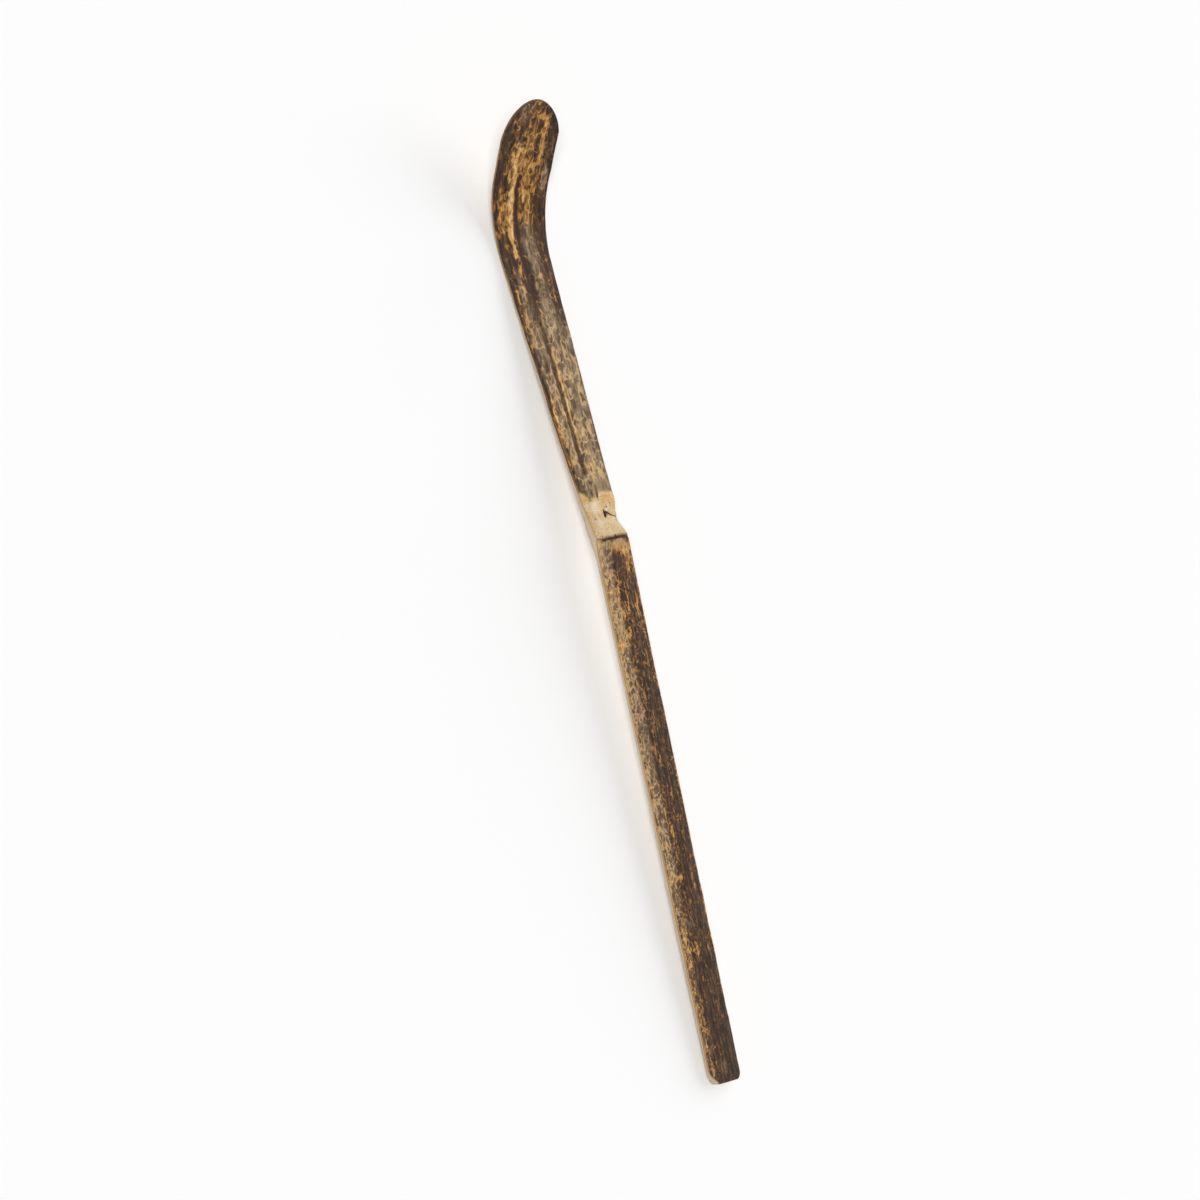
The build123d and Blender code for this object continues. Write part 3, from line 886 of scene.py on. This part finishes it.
class Look:
    """A node material, written as nested calls that return sockets."""

    def __init__(self, name):
        self.material = bpy.data.materials.new(name)
        self.material.use_nodes = True
        self.nodes = self.material.node_tree.nodes
        self.grain = self.node("Attribute", {}, attribute_name="grain").outputs["Vector"]
        self.across, self.along, self.below = self.parts(self.grain, "SeparateXYZ")

    def node(self, kind, inputs, **settings):
        """A new node with its settings and its inputs."""
        node = self.nodes.new("ShaderNode" + kind)
        for name, value in settings.items():
            setattr(node, name, value)
        return fill(node, inputs)

    def parts(self, value, kind):
        """The three parts of a vector or a colour."""
        return list(self.node(kind, {0: value}).outputs)

    def marks(self):
        """The four marks of a piece's points."""
        node = self.node("Attribute", {}, attribute_name="marks")
        return *self.parts(node.outputs["Color"], "SeparateColor"), node.outputs["Alpha"]

    def vector(self, operation, first, second):
        return self.node("VectorMath", {0: first, 1: second}, operation=operation).outputs[0]

    def math(self, operation, *values):
        return self.node("Math", dict(enumerate(values)), operation=operation).outputs[0]

    def times(self, first, second):
        return self.math("MULTIPLY", first, second)

    def total(self, *terms):
        """Sum of terms: a socket, or (socket, factor, middle) for factor * (socket - middle)."""
        result = None
        for term in terms:
            if isinstance(term, tuple):
                socket, factor, middle = term
                term = self.math("MULTIPLY_ADD", socket, factor, -factor * middle)
            result = term if result is None else self.math("ADD", result, term)
        return result

    def noise(self, vector, scale, detail, output="Fac"):
        place = self.vector("ADD", self.vector("MULTIPLY", vector, scale), noise_start)
        return self.node("TexNoise", {"Vector": place, "Scale": 1.0, "Detail": detail}).outputs[output]

    def cells(self, vector, scale):
        """Distance to the nearest of scattered points, and that point's random number."""
        inputs = {"Vector": self.vector("MULTIPLY", vector, scale), "Scale": 1.0}
        node = self.node("TexVoronoi", inputs, voronoi_dimensions="2D", feature="F1")
        return node.outputs["Distance"], self.parts(node.outputs["Color"], "SeparateColor")[0]

    def wobbled(self, vector, amount, scale):
        """Places pushed about by a slow noise."""
        push = self.vector("SUBTRACT", self.noise(vector, scale, 1.0, "Color"), (0.5, 0.5, 0.5))
        return self.vector("ADD", vector, self.vector("MULTIPLY", push, amount))

    def step(self, value, low, high):
        """0 at low, 1 at high, and a smooth change between."""
        inputs = {"Value": value, "From Min": low, "From Max": high}
        return self.node("MapRange", inputs, interpolation_type="SMOOTHSTEP").outputs["Result"]

    def layers(self, base, *layers):
        """A colour under layers: (colour, share), or (colour, value, low, high) for a smooth step."""
        for tint, share, *ends in layers:
            if ends:
                share = self.step(share, *ends)
            inputs = {0: share, 6: linear(base), 7: linear(tint)}
            base = self.node("Mix", inputs, data_type="RGBA").outputs[2]
        return base

    def finish(self, base, roughness, height, bump):
        """Set the surface's colour, roughness and bump, whose height is given in millimetres."""
        relief = self.node("Bump", {"Strength": 1.0, "Distance": bump * MM, "Height": height})
        inputs = {"Base Color": base, "Roughness": roughness, "Normal": relief.outputs["Normal"]}
        fill(self.nodes["Principled BSDF"], {**inputs, "Specular IOR Level": bamboo_sheen})
        return self.material


def bare_colour(look, warm):
    """Pale bare bamboo with fibres along it and faint wrinkles across."""
    fibres = look.noise(look.grain, (7.0, 0.5, 7.0), 3.0)
    clouds = look.noise(look.grain, (0.9, 0.5, 0.9), 2.0)
    wrinkles = look.noise(look.grain, (1.2, 3.5, 1.2), 3.0)
    base = look.layers(
        BARE_PALE,
        (BARE_TAN, clouds, 0.3, 0.7),
        (BARE_OCHRE, warm),
        (BARE_FIBRE, fibres, 0.45, 0.8),
        (BARE_WRINKLE, wrinkles, 0.55, 0.9),
    )
    return base, wrinkles


def cut_wood(look):
    """Pared wood with fibres and fibre bundles along it."""
    fibres = look.noise(look.grain, (6.0, 0.22, 6.0), 3.0)
    bundles = look.noise(look.grain, (11.0, 0.35, 11.0), 2.0)
    clouds = look.noise(look.grain, (0.8, 0.12, 0.8), 2.0)
    base = look.layers(
        WOOD_PALE,
        (WOOD_TAN, clouds, 0.3, 0.7),
        (WOOD_FIBRE, fibres, 0.48, 0.75),
        (WOOD_BUNDLE, bundles, 0.62, 0.76),
    )
    return base, fibres, bundles


def edge_colours(look):
    """Eased edge of the skin, pale on the handle as a painted highlight, and the line under it, which
    change along the strip.
    """
    upper = look.step(look.along, node_end + 0.5, node_end + 4.0)
    scoop = look.step(look.along, 136.0, 146.0)
    butt = look.step(look.along, 2.6, 1.8)
    edge = look.layers(HANDLE_EDGE_HIGHLIGHT, (SHAFT_EDGE, upper), (BUTT_FACET, butt))
    line = look.layers(HANDLE_LINE, (SHAFT_LINE, upper), (SCOOP_LINE, scoop), (BUTT_FACET, butt))
    return edge, line


def skin_material(name, size):
    """Mottled skin: gold loops and streaks of a size over a dark or greyish ground, the grey partly
    painted sheen, with an edge that is worn at the tip and carries a painted highlight on the handle.
    """
    look = Look(name)
    along, below = look.along, look.below
    gold, grey, dark, bared = look.marks()

    fine = look.wobbled(look.grain, (0.12, 0.3, 0.0), (3.7, 1.4, 0.0))
    flow = look.wobbled(fine, (0.5, 1.3, 0.0), (1.1, 0.35, 0.0))
    sized = look.vector("MULTIPLY", flow, (1 / size, 1 / size, 1.0))
    patches = look.noise(flow, (0.8, 0.25, 0.0), 3.0)
    streaks = look.noise(sized, (3.2, 0.4, 0.0), 2.0)
    blots = look.noise(sized, (2.0, 0.9, 0.0), 1.0)
    grains = look.noise(fine, (4.5, 1.8, 0.0), 1.0)
    fibres = look.noise(look.grain, (14.0, 0.5, 0.0), 2.0)
    tints = look.noise(flow, (1.6, 0.5, 0.0), 2.0)
    loops = look.total((look.noise(sized, (1.5, 0.8, 0.0), 1.0), 1.0, 0.5))
    web = look.step(look.math("ABSOLUTE", loops), 0.08, 0.02)
    nearest, chance = look.cells(flow, (1.3, 0.8, 0.0))
    specks = look.times(look.step(nearest, 0.32, 0.16), look.step(chance, 0.5, 0.7))
    specks = look.times(specks, look.total((grey, -0.25, 2.4)))

    from_node = look.math("ABSOLUTE", look.total((along, 1.0, calm_middle)))
    calm = look.step(from_node, calm_reach, calm_full)
    mottle = look.total((patches, 1.1, 0.5), (streaks, 1.1, 0.5), (grains, 0.5, 0.5))
    mottle = look.total(mottle, (blots, 0.8, 0.5), (web, 0.55, 0.4))
    mottle = look.times(mottle, look.total((calm, -0.5, 2.0)))
    amount = look.total(gold, mottle)
    ochre = look.step(amount, -0.05, 0.15)
    bright = look.step(look.total(amount, (tints, 1.0, 0.5)), -0.05, 0.9)
    rusty = look.times(look.step(amount, -0.45, -0.05), 0.65)
    clumped = look.times(look.step(amount, -0.1, 0.6), 0.8)
    # Greyish haze from the grey mark, which on the right of the upper shaft and the bend is painted
    # sheen
    veil_and_sheen = look.times(grey, look.step(gold, 0.8, 0.35))
    bare = look.step(look.total(bared, (patches, 0.6, 0.5), (grains, 0.4, 0.5)), 0.1, 0.9)
    # Band of the eased edge: a painted highlight on its round on the handle, the line under the skin
    # below it, and browner wear at the tip
    worn_and_highlight = look.step(look.total(below, (streaks, 0.12, 0.5)), 0.05, 0.16)
    worn_and_highlight = look.times(worn_and_highlight, look.step(along, 0.05, 0.4))
    # Dark marks of the skin, with the painted shade under the scar among them
    stain_and_shade = look.times(dark, look.step(look.total(streaks, (patches, 0.8, 0.5)), 0.05, 0.5))

    char = look.layers(CHAR_DARK, (CHAR_LIGHT, streaks, 0.38, 0.66), (RUST, rusty))
    light = look.layers(OCHRE_DARK, (OCHRE_LIGHT, bright), (GOLD, amount, 0.75, 1.4))
    haze_and_sheen = look.layers(HAZE_DARK, (HAZE_LIGHT, blots, 0.34, 0.66), (HAZE_CLUMP, clumped))
    haze_and_sheen = look.layers(haze_and_sheen, (HAZE_WEB, look.times(web, 0.3)))
    edge, line = edge_colours(look)
    rim = look.layers(edge, (line, below, 0.16, 0.3), (SKIN_TIP, along, tip_start, tip_worn))
    base = look.layers(
        char,
        (light, ochre),
        (haze_and_sheen, veil_and_sheen),
        (SKIN_SPECK, specks),
        (SKIN_FIBRE, fibres, 0.5, 0.9),
        (bare_colour(look, gold)[0], bare),
        (rim, worn_and_highlight),
        (SKIN_STAIN_AND_SHADE, stain_and_shade),
    )
    rough = look.total((fibres, 0.12, 0.5), (ochre, -0.06, 0.0), (grains, 0.1, 0.5), (veil_and_sheen, 0.08, -7.0))
    height = look.total((ochre, 0.5, 0.0), (streaks, 0.6, 0.5), (fibres, 0.4, 0.5), (grains, 0.3, 0.5))
    return look.finish(base, rough, height, 0.03)


def node_material():
    """Pale speckled node, darker in its pit and creases, with painted shade above the scar and in the
    bud's fold, a painted highlight on the lip, and plain cut sides.
    """
    look = Look("node_straw")
    below = look.below
    warm, grey, dark, white_and_highlight = look.marks()
    straw, wrinkles = bare_colour(look, warm)
    pores = look.cells(look.grain, (2.2, 2.2, 0.0))[0]
    face = look.step(below, 0.5, 0.15)
    rim = look.times(look.step(below, 0.06, 0.16), look.step(below, 0.4, 0.2))
    base = look.layers(
        straw,
        (NODE_GREY, look.times(grey, 0.5)),
        (NODE_PORE, pores, 0.2, 0.06),
        (cut_wood(look)[0], below, 0.15, 0.4),
        (NODE_RIM, look.times(rim, 0.6)),
        (NODE_DARK, look.total(look.times(dark, face), (wrinkles, 0.3, 0.5)), 0.05, 1.0),
        (NODE_WHITE_AND_HIGHLIGHT, white_and_highlight),
    )
    rough = look.total((wrinkles, 0.15, -3.0))
    height = look.total((wrinkles, 0.6, 0.5), (look.times(pores, face), 0.3, 0.0))
    return look.finish(base, rough, height, 0.025)


def wood_material():
    """Pared wood with a line under the skin, which is broader on the shaft, and a browned tip."""
    look = Look("pared_culm_wood")
    along = look.along
    base, fibres, bundles = cut_wood(look)
    broad = look.times(look.step(along, 110.0, 114.0), look.step(along, 131.0, 125.0))
    depth = look.total(look.below, (fibres, 0.1, 0.5), (broad, -0.3, 0.0))
    line = edge_colours(look)[1]
    base = look.layers(base, (line, depth, 0.62, 0.45), (WOOD_TIP, along, tip_start, tip_worn))
    rough = look.total((fibres, 0.15, -3.2))
    height = look.total((fibres, 0.8, 0.5), (bundles, 0.6, 0.5))
    return look.finish(base, rough, height, 0.04)


def scar_material():
    """A dark line with brown edges, which fades to tan on the left."""
    look = Look("scar_bark")
    clouds = look.noise(look.grain, (2.0, 4.0, 2.0), 3.0)
    from_line = look.total((look.along, 1.0, scar_start + 0.45 * scar_length), (clouds, 0.3, 0.5))
    base = look.layers(
        SCAR_DARK,
        (SCAR_BROWN, clouds, 0.35, 0.7),
        (SCAR_EDGE, look.math("ABSOLUTE", from_line), 0.14, 0.3),
        (SCAR_WORN, look.total(look.across, (clouds, 1.2, 0.5)), -2.0, -2.7),
        (SCAR_SIDE, look.below, 0.12, 0.3),
    )
    return look.finish(base, look.total((clouds, 0.2, -2.6)), clouds, 0.04)


handle_rind = skin_material("handle_rind", handle_mottle)
upper_rind = skin_material("upper_rind", upper_mottle)
node_wood = node_material()
culm_wood = wood_material()
scar_bark = scar_material()

PIECES = [
    (upper_skin, "upper_rind", "rind", upper_rind),
    (upper_wood, "upper_wood", "culm_wood", culm_wood),
    (handle_skin, "lower_rind", "rind", handle_rind),
    (handle_wood, "lower_wood", "culm_wood", culm_wood),
    (scar, "sheath_scar", "scar", scar_bark),
    (collar, "node_collar", "node_wood", node_wood),
    (bud, "branch_bud", "node_wood", node_wood),
    (stub, "diaphragm_stub", "node_wood", node_wood),
]
for piece, node, slot, material in PIECES:
    piece.data.materials.append(material)
    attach(piece, "root")
    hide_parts(node)

# Floor, lamps (name, energy, spread and where the light comes from) and the even light around
floor_size = 4.0
FLOOR_COLOUR = (0.93, 0.93, 0.93, 1.0)
LAMPS = [
    ("front", 1.55, radians(18.0), Vector((-0.41, 0.0, 0.91))),
    ("side", 1.8, radians(75.0), Vector((0.82, 0.28, 0.42))),
]
surround_level = 0.35
SURROUND_COLOUR = (1.0, 1.0, 1.0, 1.0)


def plain_floor():
    """A matte white floor that keeps the shadow."""
    mesh = bpy.data.meshes.new("floor")
    corners = [(x * floor_size, y * floor_size, 0.0) for x, y in ((-1, -1), (1, -1), (1, 1), (-1, 1))]
    mesh.from_pydata(corners, [], [(0, 1, 2, 3)])
    material = bpy.data.materials.new("white_floor")
    material.use_nodes = True
    inputs = {"Base Color": FLOOR_COLOUR, "Roughness": 1.0, "Specular IOR Level": 0.0}
    fill(material.node_tree.nodes["Principled BSDF"], inputs)
    mesh.materials.append(material)
    new_object("floor", mesh)


def soft_light():
    """A lamp from beside the camera, a low and very soft one from the right, and an even surround."""
    for name, energy, spread, towards in LAMPS:
        light = bpy.data.lights.new(name, "SUN")
        light.energy = energy
        light.angle = spread
        lamp = new_object(name, light)
        lamp.rotation_euler = towards.to_track_quat("Z", "Y").to_euler()
    world = bpy.data.worlds.new("surround")
    world.use_nodes = True
    inputs = {"Color": SURROUND_COLOUR, "Strength": surround_level}
    fill(world.node_tree.nodes["Background"], inputs)
    bpy.context.scene.world = world


# The photograph's camera: from the left of the scoop, with the scoop leaning to the left
view_tilt = radians(28.0)
view_nod = radians(1.5)
view_roll = radians(-13.56)
view_distance = 0.9
view_aim = Vector((0.0, 0.000773, 0.0))
view_clip = 0.01
photo_size = 1200
photo_scale = 5.57
aim_right_pixels = 4.43
aim_up_pixels = 3.47
sensor = 36.0


def photo_camera():
    """The camera, aimed so that the scoop lies in the frame as in the photograph."""
    toward = Vector((-sin(view_tilt), -sin(view_nod) * cos(view_tilt), cos(view_nod) * cos(view_tilt)))
    level_up = Vector((0.0, 1.0, 0.0))
    level_up = (level_up - toward * level_up.dot(toward)).normalized()
    level_right = level_up.cross(toward)
    right = level_right * cos(view_roll) + level_up * sin(view_roll)
    up = level_up * cos(view_roll) - level_right * sin(view_roll)
    slide = (right * aim_right_pixels + up * aim_up_pixels) / photo_scale * MM
    place = view_aim + toward * view_distance - slide
    lens = bpy.data.cameras.new("photo_camera")
    lens.sensor_width = sensor
    lens.lens = sensor * photo_scale / MM * view_distance / photo_size
    lens.clip_start = view_clip
    camera = new_object("photo_camera", lens)
    turn = Matrix((right, up, toward)).transposed().to_4x4()
    camera.matrix_world = Matrix.Translation(place) @ turn
    bpy.context.scene.camera = camera


plain_floor()
soft_light()
photo_camera()
bpy.context.scene.view_settings.view_transform = "Standard"
